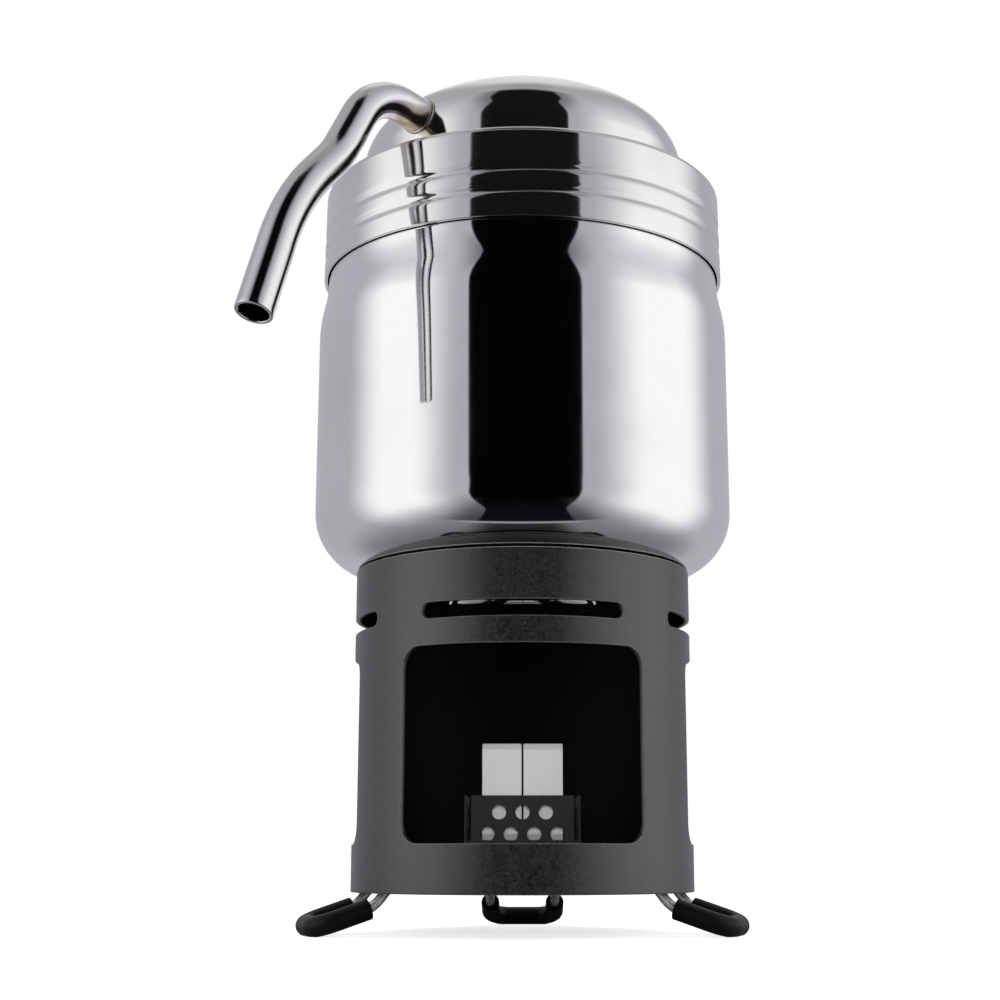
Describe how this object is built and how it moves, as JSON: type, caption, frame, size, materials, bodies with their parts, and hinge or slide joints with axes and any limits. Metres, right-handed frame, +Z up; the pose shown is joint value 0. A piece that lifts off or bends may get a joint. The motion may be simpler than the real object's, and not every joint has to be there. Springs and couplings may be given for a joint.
{
  "type": "camping coffee pot",
  "caption": "Round pressure coffee pot with a screw lid and a curved spout tube, standing on a windowed solid-fuel stand with folding wire legs.",
  "frame": {"origin": "in the middle of the overall box, at the level of the feet; the common axis of stand and pot stands at x 4 mm, y 8.25 mm", "axes": "+Z up along the axis of stand and pot, the fire window faces -Y, the spout points to -X -Y"},
  "size_m": [0.1059, 0.127, 0.199],
  "materials": {
    "anodised": "fine speckled matt dark grey coat on aluminium",
    "stainless": "satin stainless steel",
    "polished": "mirror-polished stainless steel",
    "wire": "drawn bright steel wire",
    "rubber": "black satin rubber tube",
    "seal": "pale silicone rubber",
    "black_coat": "matt black coat on sheet",
    "fuel": "pressed pale grey-white solid fuel",
    "valve_brass": "turned brass"
  },
  "bodies": {
    "stand": {"stand_shell": "anodised", "base_plate": "anodised", "leg_bracket_left": "stainless", "leg_bracket_right": "stainless", "leg_bracket_rear": "stainless", "bracket_rivets": "stainless"},
    "leg_left": {"leg_wire_left": "wire", "leg_sleeve_left": "rubber"},
    "leg_right": {"leg_wire_right": "wire", "leg_sleeve_right": "rubber"},
    "leg_rear": {"leg_wire_rear": "wire", "leg_sleeve_rear": "rubber"},
    "tray": {"fuel_tray": "black_coat"},
    "tablet_left": {"fuel_tablet_left": "fuel"},
    "tablet_right": {"fuel_tablet_right": "fuel"},
    "pot": {"pot_body": "polished", "coffee_funnel": "stainless", "coffee_strainer": "stainless", "valve_body": "valve_brass", "valve_nut": "valve_brass", "valve_spring": "wire"},
    "valve": {"valve_pin": "valve_brass"},
    "seal": {"lid_gasket": "seal", "filter_plate": "stainless"},
    "lid": {"lid_shell": "polished", "spout_tube": "polished", "spout_weld": "stainless"}
  },
  "joints": [
    {"name": "leg_left_fold", "type": "hinge", "parent": "stand", "child": "leg_left", "pos_m": [-0.02578, -0.002, 0.0117], "axis": [0.3256, -0.9455, 0], "range_deg": [0, 155]},
    {"name": "leg_right_fold", "type": "hinge", "parent": "stand", "child": "leg_right", "pos_m": [0.03378, -0.002, 0.0117], "axis": [0.3256, 0.9455, 0], "range_deg": [0, 155]},
    {"name": "leg_rear_fold", "type": "hinge", "parent": "stand", "child": "leg_rear", "pos_m": [0.004, 0.03975, 0.0117], "axis": [-1, 0, 0], "range_deg": [0, 155]},
    {"name": "tray_slide", "type": "slide", "parent": "stand", "child": "tray", "axis": [0, -1, 0], "range_m": [0, 0.056]},
    {"name": "tablet_left_lift", "type": "slide", "parent": "tray", "child": "tablet_left", "axis": [0, 0, 1], "range_m": [0, 0.012]},
    {"name": "tablet_right_lift", "type": "slide", "parent": "tray", "child": "tablet_right", "axis": [0, 0, 1], "range_m": [0, 0.012]},
    {"name": "pot_lift", "type": "slide", "parent": "stand", "child": "pot", "axis": [0, 0, 1], "range_m": [0, 0.04]},
    {"name": "valve_travel", "type": "slide", "parent": "pot", "child": "valve", "axis": [0, 1, 0], "range_m": [0, 0.0015], "stiffness_N_per_m": 400, "springref_m": -0.004},
    {"name": "lid_rise", "type": "slide", "parent": "pot", "child": "seal", "axis": [0, 0, 1], "range_m": [0, 0.0201]},
    {"name": "lid_turn", "type": "hinge", "parent": "seal", "child": "lid", "pos_m": [0.004, 0.00825, 0.17098], "axis": [0, 0, 1], "range_deg": [0, 1440]}
  ],
  "couplings": [
    {"joint": "lid_rise", "follows": "lid_turn", "m_per_rad": 0.00079577}
  ]
}
